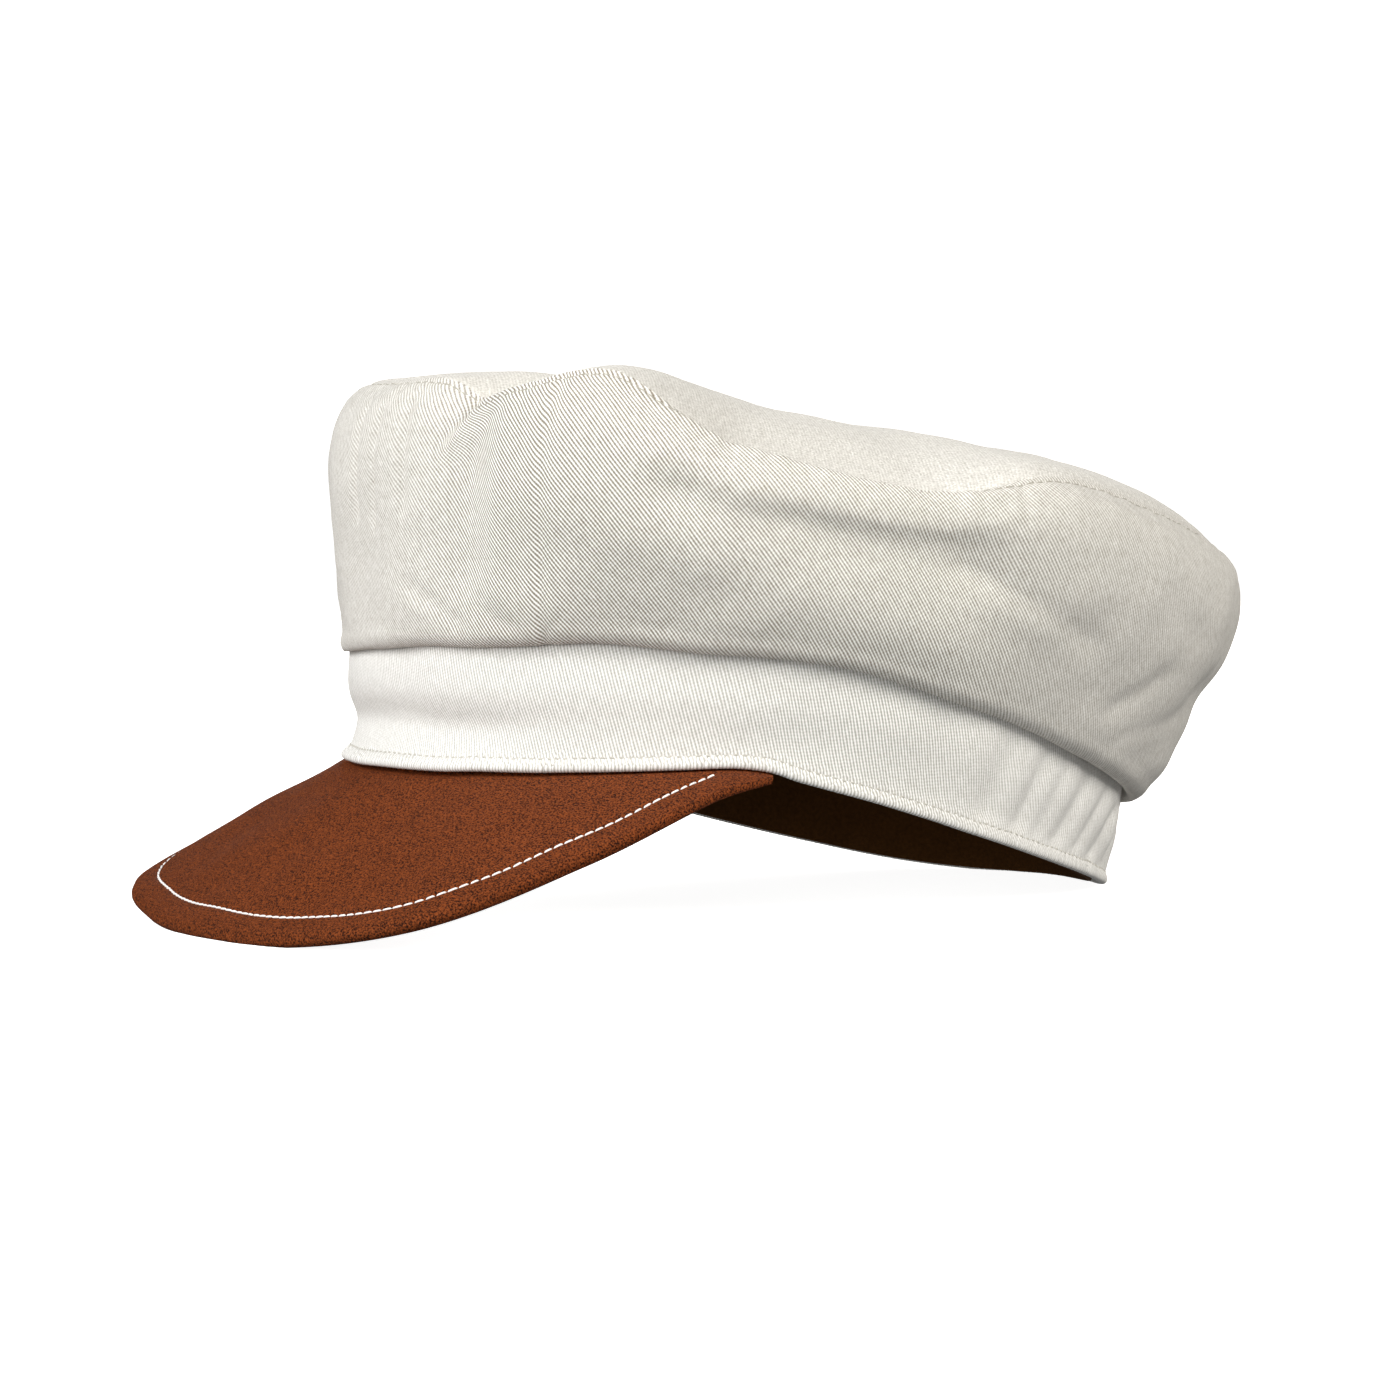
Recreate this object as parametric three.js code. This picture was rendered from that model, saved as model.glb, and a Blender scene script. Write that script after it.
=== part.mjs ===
import * as THREE from 'three';

// A soft cloth cap with a leather peak. Sizes are in millimetres and angles in degrees.
// Each piece is drawn on an upright cap: +X is the wearer's left, -Y the front, +Z up, and height 0
// is the hem at the front. An angle runs from the front (0) by the wearer's left (90) to the back (180).
// "Out" is a distance from the outside of the hem's outline, square to it, and "up" is a height.
// The whole cap is then tilted forward and lifted, so that it rests on its peak and the back of its hem.

// Driving sizes
const hemLength = 202;
const hemWidth = 172;
const frontFullness = 0.04;
const crownCloth = 1.6;
const bandCloth = 2.2;
const sweatbandLeather = 1;
const peakLeather = 3.4;
const peakCornerLeather = 1.8;
const seamGap = 0.3;
const restTilt = 8.3;
const restLift = 25.0;
const originShift = { x: -1.03, y: 4.785 };

// Heights of the hem's lower edge, the same on both sides
const hemColumns = ['up'];
const hemRows = [
  [0, 0],
  [25, 0.1],
  [50, 5.2],
  [75, 6.2],
  [100, -1.6],
  [125, -7.6],
  [150, -11.3],
  [180, -11.2],
];

// The crown's wall, a row for each section round the cap. foldUp is the height of its overhanging
// fold above the hem. The rows at 21 and 83 degrees are dents, with fuller lobes between them.
const crownColumns = ['foldUp', 'foldOut', 'bellyOut', 'bellyUp', 'seamOut', 'seamUp'];
const crownRows = [
  [-60, 28, 6.5, 14.0, 70, 7.0, 92.0],
  [-30, 26, 6.0, 12.2, 77, 3.0, 93.5],
  [0, 27.5, 6.0, 11.0, 76, 2.5, 92.5],
  [12, 29, 6.0, 10.5, 74, 3.0, 92.5],
  [21, 30, 6.0, 7.0, 70, 0.5, 87.0],
  [28, 31, 6.0, 14.0, 70, 7.0, 91.0],
  [40, 31, 6.5, 17.5, 68, 8.0, 96.5],
  [50, 29, 6.5, 17.5, 64, 11.0, 89.0],
  [58, 27.5, 7.0, 17.0, 60, 12.0, 81.5],
  [83, 27, 7.5, 18.5, 56, 16.0, 76.5],
  [100, 28, 8.0, 20.5, 58, 18.0, 84.0],
  [120, 26.5, 8.5, 23.0, 59, 19.5, 80.5],
  [150, 21, 8.0, 25.8, 57, 20.0, 74.0],
  [180, 20, 8.0, 26.5, 55, 20.5, 73.0],
  [210, 21, 7.5, 25.0, 57, 19.0, 77.0],
  [240, 25, 7.5, 20.5, 60, 15.0, 84.0],
  [270, 27, 7.0, 18.5, 60, 13.0, 82.0],
];

// The crown's fold, measured from its lowest point, and how full its lower wall and shoulder are
const foldShape = { jointUp: 5.4, innerOut: 2.7, innerUp: 3.8, bottomOut: 4.2, turnUp: 3.5 };
const lowWallShare = 0.42;
const shoulderShape = { inShare: 0.55, upShare: 0.62, outBulge: 0.14, upBulge: 0.1 };

// The top panel's height along its middle, from front to back
const crestColumns = ['up'];
const crestRows = [
  [-110, 97],
  [-80, 101],
  [-50, 100],
  [-20, 98],
  [10, 95.5],
  [40, 96],
  [70, 101.5],
  [95, 97],
  [120, 84],
];
const crestRise = 2.9;
const crestCentre = 8;
const panelReach = 12;
const seamWaveDepth = 0.35;

// The band's middle, bottom to top, as shares of its height
const bandColumns = ['out'];
const bandRows = [
  [0, 0],
  [0.16, -0.8],
  [0.55, 1.3],
  [1, 1.6],
];
const bandHollow = 0.9;
const bandTopAboveFold = 4;

// Gathers at the back of the band
const gatherStart = 78;
const gatherFull = 130;
const gatherPitch = 8;
const gatherDepth = 0.8;
const gatherWander = { depth: 0.8, turns: 3 };
const gatherFullness = 0.5;

// The strip inside the band
const sweatbandHemInset = 1;
const sweatbandHeight = 27;

// The peak's edge, turning from its middle to a corner round a centre on the cap's middle line
const peakColumns = ['reach', 'up'];
const peakRows = [
  [0, 102.5, -44.5],
  [20, 105.8, -43.6],
  [40, 113.9, -35.9],
  [60, 99, -17.1],
  [78, 88.3, -0.4],
  [90, 83, 5.9],
];
const peakCentre = -39;
const peakHalfSpan = 68;
const peakDome = 1.3;
const domeFullReach = 60;
const cornerThinningStart = 45;
const shortestPlate = 0.5;
const tuckHeight = 8;
const tuckThickness = 1.2;
const tuckFadeStart = 72;
const tuckFadeEnd = 84;

// Small numerical helpers
const radians = THREE.MathUtils.degToRad;

function smoothTable(columns, rows, period = 0) {
  const count = rows.length;
  const rowAt = (i) => {
    if (period === 0) return rows[THREE.MathUtils.clamp(i, 0, count - 1)];
    const turns = Math.floor(i / count);
    const [place, ...values] = rows[i - turns * count];
    return [place + turns * period, ...values];
  };
  return (place) => {
    const start = rows[0][0];
    const at = period === 0 ? place : start + THREE.MathUtils.euclideanModulo(place - start, period);
    let i = 0;
    while (i < count - 1 && rowAt(i + 1)[0] <= at) i += 1;
    if (period === 0) i = Math.min(i, count - 2);
    const [before, low, high, after] = [rowAt(i - 1), rowAt(i), rowAt(i + 1), rowAt(i + 2)];
    const span = high[0] - low[0];
    const t = (at - low[0]) / span;
    const result = {};
    columns.forEach((name, k) => {
      const c = k + 1;
      const lowSlope = ((high[c] - before[c]) / (high[0] - before[0])) * span;
      const highSlope = ((after[c] - low[c]) / (after[0] - low[0])) * span;
      const curve = 2 * (low[c] - high[c]) + lowSlope + highSlope;
      const bend = 3 * (high[c] - low[c]) - 2 * lowSlope - highSlope;
      result[name] = ((curve * t + bend) * t + lowSlope) * t + low[c];
    });
    return result;
  };
}

function bothSides(rows) {
  const otherSide = rows.filter((row) => row[0] > 0).map(([place, ...values]) => [-place, ...values]);
  return [...otherSide.reverse(), ...rows];
}

// Even steps over each stretch, given as its first angle, its last one and its number of steps
function spreadAngles(stretches) {
  return stretches.flatMap(([from, to, steps]) => {
    const step = (to - from) / steps;
    return Array.from({ length: steps }, (_, i) => from + i * step);
  });
}

const hemTable = smoothTable(hemColumns, bothSides(hemRows));
const crownTable = smoothTable(crownColumns, crownRows, 360);
const crestTable = smoothTable(crestColumns, crestRows);
const bandTable = smoothTable(bandColumns, bandRows);
const peakTable = smoothTable(peakColumns, bothSides(peakRows));

// The hem's outline and points measured from it
function hemHeight(angle) {
  const aroundFront = THREE.MathUtils.euclideanModulo(angle + 180, 360) - 180;
  return hemTable(aroundFront).up;
}

function outwards(angle) {
  const across = Math.sin(radians(angle)) / hemWidth;
  const along = -Math.cos(radians(angle)) / hemLength;
  return new THREE.Vector3(across, along, 0).normalize();
}

function pointAt(angle, out, up) {
  const x = (hemWidth / 2) * Math.sin(radians(angle)) * (1 + frontFullness * Math.cos(radians(angle)));
  const y = (-hemLength / 2) * Math.cos(radians(angle));
  return new THREE.Vector3(x, y, up).addScaledVector(outwards(angle), out);
}

// Height, on the upright cap, of the surface that the tilted cap rests on
function restHeight(y) {
  return (y * Math.sin(radians(restTilt)) - restLift) / Math.cos(radians(restTilt));
}

function flattenAtRest(point) {
  point.z = Math.max(point.z, restHeight(point.y));
  return point;
}

// A closed body through rings of points. The last ring joins the first, or both end rings are capped.
function capFaces(ring, firstIndex) {
  const normal = new THREE.Vector3();
  const middle = new THREE.Vector3();
  ring.forEach((point, i) => {
    normal.add(new THREE.Vector3().crossVectors(point, ring[(i + 1) % ring.length]));
    middle.addScaledVector(point, 1 / ring.length);
  });
  normal.normalize();
  const side = new THREE.Vector3().subVectors(ring[0], middle);
  side.addScaledVector(normal, -side.dot(normal)).normalize();
  const other = new THREE.Vector3().crossVectors(normal, side);
  const outline = ring.map((point) => {
    const spoke = new THREE.Vector3().subVectors(point, middle);
    return new THREE.Vector2(spoke.dot(side), spoke.dot(other));
  });
  const triangles = THREE.ShapeUtils.triangulateShape(outline, []);
  return triangles.map((face) => face.map((i) => i + firstIndex));
}

function loft(rings, joined) {
  const size = rings[0].length;
  const faces = [];
  const lastRing = joined ? rings.length : rings.length - 1;
  for (let r = 0; r < lastRing; r += 1) {
    const here = r * size;
    const next = ((r + 1) % rings.length) * size;
    for (let k = 0; k < size; k += 1) {
      const after = (k + 1) % size;
      faces.push([here + k, here + after, next + after]);
      faces.push([here + k, next + after, next + k]);
    }
  }
  if (!joined) {
    const endIndex = (rings.length - 1) * size;
    faces.push(...capFaces(rings[0], 0).map(([a, b, c]) => [a, c, b]));
    faces.push(...capFaces(rings[rings.length - 1], endIndex));
  }
  const points = rings.flat();
  const volume = faces.reduce((sum, [a, b, c]) => {
    const cross = new THREE.Vector3().crossVectors(points[b], points[c]);
    return sum + points[a].dot(cross);
  }, 0);
  const outFacing = volume > 0 ? faces : faces.map(([a, b, c]) => [a, c, b]);
  const geometry = new THREE.BufferGeometry().setFromPoints(points);
  geometry.setIndex(outFacing.flat());
  geometry.computeVertexNormals();
  return geometry;
}

// A wall of even thickness round the cap. middleAt gives the middle of the wall.
function wallNormal(middleAt, angle, station) {
  const nudge = 0.02;
  const round = new THREE.Vector3().subVectors(
    middleAt(angle + nudge, station),
    middleAt(angle - nudge, station),
  );
  const along = new THREE.Vector3().subVectors(
    middleAt(angle, station + nudge),
    middleAt(angle, station - nudge),
  );
  return new THREE.Vector3().crossVectors(round, along).normalize();
}

function wallRings(angles, stations, middleAt, normalAt, thickness) {
  const face = (side) => stations.map((station) => angles.map((angle) => {
    const offset = (side * thickness) / 2;
    return middleAt(angle, station).addScaledVector(normalAt(angle, station), offset);
  }));
  return [...face(1), ...face(-1).reverse()];
}

// Crown wall: from the joint over the band's top, down to the fold, then up to the top seam
const crownAngles = spreadAngles([[0, 111, 37], [111, 360, 50]]);
const seamStation = 7;
const crownStations = Array.from({ length: 2 * seamStation + 1 }, (_, i) => i / 2);

function crownSection(angle) {
  const row = crownTable(angle);
  const fold = hemHeight(angle) + row.foldUp + crownCloth / 2;
  const lowOut = THREE.MathUtils.lerp(row.foldOut, row.bellyOut, lowWallShare);
  const lowUp = THREE.MathUtils.lerp(fold, row.bellyUp, lowWallShare);
  const rise = row.seamUp - row.bellyUp;
  const pull = row.seamOut - row.bellyOut;
  const { inShare, upShare, outBulge, upBulge } = shoulderShape;
  const corners = [
    [0, fold + foldShape.jointUp],
    [foldShape.innerOut, fold + foldShape.innerUp],
    [foldShape.bottomOut, fold],
    [row.foldOut, fold + foldShape.turnUp],
    [lowOut, lowUp],
    [row.bellyOut, row.bellyUp],
    [row.bellyOut + inShare * pull + outBulge * rise, row.bellyUp + upShare * rise - upBulge * pull],
    [row.seamOut, row.seamUp],
  ];
  const points = corners.map(([out, up]) => new THREE.Vector3(out, up, 0));
  return new THREE.CatmullRomCurve3(points, false, 'centripetal');
}

function crownMiddle(angle, station) {
  const share = THREE.MathUtils.clamp(station / seamStation, 0, 1);
  const { x: out, y: up } = crownSection(angle).getPoint(share);
  return pointAt(angle, out, up);
}

// Top panel: from the seam (share 0) to the crown's centre (share 1)
const topStations = [0.86, 0.55, 0.3, 0.14, 0.05, 0];

function topMiddle(angle, share) {
  const { seamOut, seamUp } = crownTable(angle);
  const calm = THREE.MathUtils.smoothstep(share, 0, seamWaveDepth);
  const edge = pointAt(angle, THREE.MathUtils.lerp(seamOut, panelReach, calm), seamUp);
  const point = new THREE.Vector3(0, crestCentre, 0).lerp(edge, 1 - share);
  const risen = 1 - (1 - share) ** crestRise;
  point.z = THREE.MathUtils.lerp(seamUp, crestTable(point.y).up, risen);
  return point;
}

// Both cloths meet at the seam with one mitre
const nearSeam = 0.03;

function seamNormal(angle) {
  const side = wallNormal(crownMiddle, angle, seamStation - nearSeam);
  const top = wallNormal(topMiddle, angle, nearSeam);
  return side.add(top).normalize();
}

function seamPull(angle) {
  const panelSide = topMiddle(angle, nearSeam);
  const wallSide = crownMiddle(angle, seamStation - nearSeam);
  const along = panelSide.sub(wallSide);
  const normal = seamNormal(angle);
  return along.addScaledVector(normal, -along.dot(normal)).setLength(seamGap / 2);
}

function crownSide() {
  const middleAt = (angle, station) => {
    const point = crownMiddle(angle, station);
    return station === seamStation ? point.sub(seamPull(angle)) : point;
  };
  const normalAt = (angle, station) => {
    if (station === seamStation) return seamNormal(angle);
    const inside = THREE.MathUtils.clamp(station, nearSeam, seamStation - nearSeam);
    return wallNormal(crownMiddle, angle, inside);
  };
  return loft(wallRings(crownAngles, crownStations, middleAt, normalAt, crownCloth), true);
}

function crownTop() {
  const middleAt = (angle, share) => {
    const point = topMiddle(angle, share);
    return share === 0 ? point.add(seamPull(angle)) : point;
  };
  const normalAt = (angle, share) => (share === 0 ? seamNormal(angle) : wallNormal(topMiddle, angle, share));
  return loft(wallRings(crownAngles, topStations, middleAt, normalAt, crownCloth), false);
}

// Band: an upright strip, gathered at the back, with its hem flattened where it rests
const bandAngles = spreadAngles([[-80, 80, 32], [80, 280, 96]]);
const bandStations = [0, 0.08, 0.16, 0.5, 1];

function gatherStrength(angle) {
  const fromBack = Math.abs(THREE.MathUtils.euclideanModulo(angle, 360) - 180);
  return gatherDepth * THREE.MathUtils.smoothstep(180 - fromBack, gatherStart, gatherFull);
}

function gatherAt(angle) {
  const wander = gatherWander.depth * Math.sin(radians(gatherWander.turns * angle));
  return gatherStrength(angle) * Math.cos((2 * Math.PI * angle) / gatherPitch + wander);
}

function bandTop(angle) {
  return hemHeight(angle) + crownTable(angle).foldUp + bandTopAboveFold;
}

function bandMiddle(angle, share) {
  const bottom = hemHeight(angle);
  const out = bandTable(share).out - bandCloth / 2;
  const ripple = gatherAt(angle) * Math.sin(Math.PI * share) ** gatherFullness;
  return pointAt(angle, out + ripple, THREE.MathUtils.lerp(bottom, bandTop(angle), share));
}

function band() {
  const normalAt = (angle) => outwards(angle);
  const rings = wallRings(bandAngles, bandStations, bandMiddle, normalAt, bandCloth);
  rings.forEach((ring) => ring.forEach(flattenAtRest));
  return loft(rings, true);
}

// Sweatband: a thin strip behind the band, set in further where the peak is tucked in
const sweatbandAngles = spreadAngles([[0, 360, 60]]);
const sweatbandStations = [0, 1];

function tuckRoom(angle) {
  const fromFront = Math.abs(THREE.MathUtils.euclideanModulo(angle + 180, 360) - 180);
  const clear = 1 - THREE.MathUtils.smoothstep(fromFront, tuckFadeStart, tuckFadeEnd);
  return clear * (tuckThickness + seamGap);
}

function sweatband() {
  const middleAt = (angle, share) => {
    const behindBand = bandCloth + bandHollow + gatherStrength(angle) + seamGap;
    const out = -behindBand - tuckRoom(angle) - sweatbandLeather / 2;
    const bottom = hemHeight(angle) + sweatbandHemInset;
    return pointAt(angle, out, bottom + share * sweatbandHeight);
  };
  const normalAt = (angle) => outwards(angle);
  return loft(wallRings(sweatbandAngles, sweatbandStations, middleAt, normalAt, sweatbandLeather), true);
}

// Peak: a plate that slopes down and out from the hem, with a rounded edge and a tucked-in strip
const peakAngles = [...spreadAngles([[-peakHalfSpan, peakHalfSpan, 34]]), peakHalfSpan];
const peakShares = [0.03, 0.3, 0.65, 1];
const edgeTurns = [45, 90, 135];

function peakEdge(angle) {
  const turn = (90 * angle) / peakHalfSpan;
  const { reach, up } = peakTable(turn);
  const across = reach * Math.sin(radians(turn));
  const along = peakCentre - reach * Math.cos(radians(turn));
  return new THREE.Vector3(across, along, up);
}

function peakRing(angle) {
  const corner = THREE.MathUtils.smoothstep(Math.abs(angle), cornerThinningStart, peakHalfSpan);
  const thickness = THREE.MathUtils.lerp(peakLeather, peakCornerLeather, corner);
  const round = thickness / 2;
  const base = pointAt(angle, 0, hemHeight(angle) - seamGap);
  const run = peakEdge(angle).sub(base);
  const flat = Math.max(run.length() - round, shortestPlate);
  const level = new THREE.Vector3(run.x, run.y, 0).normalize();
  const slope = Math.asin(-run.z / run.length());
  const dome = peakDome * Math.min(flat / domeFullReach, 1);
  const onPlate = (along, down) => {
    const out = along * Math.cos(slope) - down * Math.sin(slope);
    const up = -along * Math.sin(slope) - down * Math.cos(slope);
    const point = base.clone().addScaledVector(level, out);
    point.z += up + dome * Math.sin(Math.PI * Math.min(along / flat, 1));
    return flattenAtRest(point);
  };
  const tuckOuter = -bandCloth - bandHollow - seamGap;
  const tuckInner = tuckOuter - tuckThickness;
  const hem = hemHeight(angle);
  const topFace = peakShares.map((share) => onPlate(flat * share, 0));
  const edge = edgeTurns.map((turn) => {
    const along = flat + round * Math.sin(radians(turn));
    return onPlate(along, round - round * Math.cos(radians(turn)));
  });
  const lowerFace = peakShares.map((share) => onPlate(flat * share, thickness)).reverse();
  return [
    pointAt(angle, tuckInner, hem + tuckHeight),
    pointAt(angle, tuckOuter, hem + tuckHeight),
    pointAt(angle, tuckOuter, hem - seamGap),
    ...topFace,
    ...edge,
    ...lowerFace,
    pointAt(angle, tuckInner, hem - seamGap - round),
  ];
}

function peak() {
  return loft(peakAngles.map(peakRing), false);
}

// Materials and the finished cap
const twill = { color: 0xe6e3d8, roughness: 0.92, metalness: 0 };
const finishes = {
  crown_side: twill,
  crown_top: twill,
  band: twill,
  sweatband: { color: 0x22150a, roughness: 0.8, metalness: 0 },
  peak: { color: 0x733c25, roughness: 0.75, metalness: 0 },
};

const cap = new THREE.Group();

function addPiece(name, geometry) {
  const mesh = new THREE.Mesh(geometry, new THREE.MeshStandardMaterial(finishes[name]));
  mesh.name = name;
  cap.add(mesh);
}

addPiece('crown_side', crownSide());
addPiece('crown_top', crownTop());
addPiece('band', band());
addPiece('sweatband', sweatband());
addPiece('peak', peak());

cap.rotation.x = -radians(restTilt);
cap.position.set(originShift.x, originShift.y, restLift);

export default cap;
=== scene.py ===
import math
import bpy
import numpy as np
from mathutils import Matrix, Vector


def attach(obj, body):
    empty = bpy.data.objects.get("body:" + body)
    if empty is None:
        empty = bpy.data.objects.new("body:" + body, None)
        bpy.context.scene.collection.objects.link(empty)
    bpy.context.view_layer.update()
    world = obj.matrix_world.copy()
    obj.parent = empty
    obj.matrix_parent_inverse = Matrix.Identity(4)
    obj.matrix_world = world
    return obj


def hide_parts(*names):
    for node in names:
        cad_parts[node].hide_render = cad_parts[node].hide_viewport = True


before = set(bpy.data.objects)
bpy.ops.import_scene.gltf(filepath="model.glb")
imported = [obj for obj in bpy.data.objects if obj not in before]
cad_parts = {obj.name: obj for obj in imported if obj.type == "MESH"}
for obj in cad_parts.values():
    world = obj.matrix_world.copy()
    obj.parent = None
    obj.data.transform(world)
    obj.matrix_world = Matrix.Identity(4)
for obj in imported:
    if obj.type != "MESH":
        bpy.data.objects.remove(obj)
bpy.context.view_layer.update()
print("frame loaded:", len(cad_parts), "pieces")

# A soft cloth cap with a leather peak, resting on its peak and the back of its hem.
# It is drawn upright in millimetres: +X the wearer's left, -Y the front, height 0 the hem at the front.
# Angles are in degrees from the front (0) by the wearer's left (90) to the back (180).
# "Out" is a distance from the outside of the hem's outline, square to it, and "up" is a height.
cap = {
    "hemLength": 202,
    "hemWidth": 172,
    "hemRound": 589,  # length round the hem
    "frontFullness": 0.04,
    "restTilt": 8.3,  # degrees forward
    "restLift": 25.0,
    "restShift": (-1.03, 4.785),
    "mmPerDegree": 1.95,  # round the crown at its fullest
    "closeFrom": -20,  # degrees; the side that the photo shows has closer columns
    "closeTo": 150,
    # the hem's lower edge: angle, up; the same on both sides
    "hemLine": [(0, 0), (25, 0.1), (50, 5.2), (75, 6.2), (100, -1.6), (125, -7.6), (150, -11.3),
                (180, -11.2)],
    # the worn hem dips and lifts from that line: angle, up
    "hemWaver": [(-20, 0), (-5, -1.2), (6, -1.2), (16, -0.7), (25, 0), (36, -0.7), (46, -1.2),
                 (55, -0.5), (63, 0.5), (68, 0.2), (72, -1.1), (78, -1.8), (86, -1.5), (96, -0.8),
                 (125, -0.7), (150, -0.3), (180, 0), (205, -0.3), (225, -0.8), (290, -0.8), (315, -0.4)],
}
millimetre = 0.001
fullTurn = 2 * math.pi


def curveBetween(a, b, startSlope, endSlope, t, span=1):
    low = (2 * t**3 - 3 * t**2 + 1) * a + (t**3 - 2 * t**2 + t) * span * startSlope
    high = (3 * t**2 - 2 * t**3) * b + (t**3 - t**2) * span * endSlope
    return low + high


def smoothRows(rows, at, period=0):
    # a smooth curve through every column of the rows, read at the places "at"
    rows = np.array(rows, float)
    at = np.asarray(at, float)
    if period:
        turn = np.zeros(rows.shape[1])
        turn[0] = period
        rows = np.vstack([rows[-2:] - turn, rows, rows[:3] + turn])
        at = rows[2, 0] + np.mod(at - rows[2, 0], period)
    x, y = rows[:, 0], rows[:, 1:]
    slope = np.empty_like(y)
    slope[1:-1] = (y[2:] - y[:-2]) / (x[2:] - x[:-2])[:, None]
    slope[0] = (y[1] - y[0]) / (x[1] - x[0])
    slope[-1] = (y[-1] - y[-2]) / (x[-1] - x[-2])
    i = np.clip(np.searchsorted(x, at, side="right") - 1, 0, len(x) - 2)
    span = (x[i + 1] - x[i])[..., None]
    t = (at - x[i])[..., None] / span
    return np.moveaxis(curveBetween(y[i], y[i + 1], slope[i], slope[i + 1], t, span), -1, 0)


def bothSides(rows):
    # rows for the left side, mirrored to the right as well
    return [(-row[0], *row[1:]) for row in reversed(rows) if row[0] > 0] + list(rows)


def smoothStep(low, high, x):
    t = np.clip((x - low) / (high - low), 0, 1)
    return t * t * (3 - 2 * t)


def bump(distance, width):
    return np.exp(-(distance / width) ** 2)


def mix(a, b, share):
    return a + (b - a) * share


def fromAngle(angle, start=0):
    # turn from the start angle, between -180 and 180
    return np.mod(np.asarray(angle, float) - start + 180, 360) - 180


def hemUp(angle):
    return smoothRows(bothSides(cap["hemLine"]), fromAngle(angle))[0]


def hemWaver(angle):
    return smoothRows(cap["hemWaver"], angle, 360)[0]


def outward(angle):
    # level and square to the hem's outline
    turn = np.radians(angle)
    side = np.stack([np.sin(turn) / cap["hemWidth"], -np.cos(turn) / cap["hemLength"], 0 * turn], -1)
    return side / np.linalg.norm(side, axis=-1, keepdims=True)


def capPoint(angle, out, up):
    # a place on the upright cap
    turn = np.radians(angle)
    x = cap["hemWidth"] / 2 * np.sin(turn) * (1 + cap["frontFullness"] * np.cos(turn))
    y = -cap["hemLength"] / 2 * np.cos(turn)
    flat = np.stack([x, y, 0 * turn], -1) + outward(angle) * np.asarray(out)[..., None]
    flat[..., 2] = up
    return flat


def keepAboveSurface(points):
    # the surface the tilted cap rests on, seen from the upright cap
    tilt = math.radians(cap["restTilt"])
    surface = (points[..., 1] * math.sin(tilt) - cap["restLift"]) / math.cos(tilt)
    points[..., 2] = np.maximum(points[..., 2], surface)
    return points


def asResting(points):
    # from the upright cap in millimetres to the resting cap in metres
    tilt = math.radians(cap["restTilt"])
    x = points[..., 0] + cap["restShift"][0]
    y = points[..., 1] * math.cos(tilt) + points[..., 2] * math.sin(tilt) + cap["restShift"][1]
    z = points[..., 2] * math.cos(tilt) - points[..., 1] * math.sin(tilt) + cap["restLift"]
    return np.stack([x, y, z], -1) * millimetre


def dents(points, size, depth, seed, waves=14):
    # smooth waves of about that size and depth in millimetres
    shortest, longest = 0.7, 1.6
    draw = np.random.RandomState(seed)
    total = 0
    for _ in range(waves):
        direction = draw.normal(size=3)
        direction /= np.linalg.norm(direction)
        length = size * draw.uniform(shortest, longest)
        total = total + np.sin(points @ direction * (fullTurn / length) + draw.uniform(0, fullTurn))
    return depth * (total / math.sqrt(waves))


def ripples(angle, pitch, depth, seed, waves=9):
    # waves round the cap, about that many degrees apart
    uneven = 1.5
    draw = np.random.RandomState(seed)
    counts = draw.randint(int(360 / uneven / pitch), int(360 * uneven / pitch), waves)
    starts = draw.uniform(0, fullTurn, waves)
    total = sum(np.sin(np.radians(angle) * n + s) for n, s in zip(counts, starts))
    return depth * (total / math.sqrt(waves))


def unit(vectors):
    return vectors / np.maximum(np.linalg.norm(vectors, axis=-1, keepdims=True), 1e-9)


def gridNormals(points, closed=True):
    # rows run up the cloth and columns run round the cap
    along = np.gradient(points, axis=0)
    if closed:
        across = np.roll(points, -1, 1) - np.roll(points, 1, 1)
    else:
        across = np.gradient(points, axis=1)
    return unit(np.cross(across, along))


def lengthUp(points):
    # length along each column, from the first row
    steps = np.linalg.norm(np.diff(points, axis=0), axis=-1)
    return np.vstack([np.zeros(points.shape[1]), np.cumsum(steps, axis=0)])


def roundedEdge(points, normals, half, last, turns=(30, 60, 90, 120, 150)):
    # the rounded edge of a cloth at its last or first row, from its outside to its inside
    edge, inner = (-1, -2) if last else (0, 1)
    tip = points[edge] - points[inner]
    tip = unit(tip - normals[edge] * np.sum(tip * normals[edge], -1, keepdims=True))
    rows = []
    for turn in turns:
        turn = math.radians(turn)
        rows.append(points[edge] + half * (normals[edge] * math.cos(turn) + tip * math.sin(turn)))
    return rows


def clothRows(points, thickness, everyInner=3):
    # a closed wall of even thickness: its outside, its top edge, its inside and its bottom edge
    normals = gridNormals(points)
    half = thickness / 2
    up = lengthUp(points)
    inner = sorted(set(range(0, len(points), everyInner)) | {len(points) - 1}, reverse=True)
    top = roundedEdge(points, normals, half, True)
    bottom = roundedEdge(points, normals, half, False)
    rows = list(points + normals * half) + top
    rows += [points[i] - normals[i] * half for i in inner] + bottom[::-1]
    heights = list(up) + [up[-1]] * len(top) + [up[i] for i in inner] + [up[0]] * len(bottom)
    return np.array(rows), np.array(heights)


def columnAngles(piece):
    close = np.linspace(cap["closeFrom"], cap["closeTo"], piece["frontColumns"], endpoint=False)
    wide = np.linspace(cap["closeTo"], cap["closeFrom"] + 360, piece["backColumns"], endpoint=False)
    return np.concatenate([close, wide])


def lineAt(points, distances, distance):
    # one point in every column, where its distance grows past the one asked
    line = []
    for c in range(points.shape[1]):
        line.append([np.interp(distance, distances[:, c], points[:, c, k]) for k in range(3)])
    return np.array(line)


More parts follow.
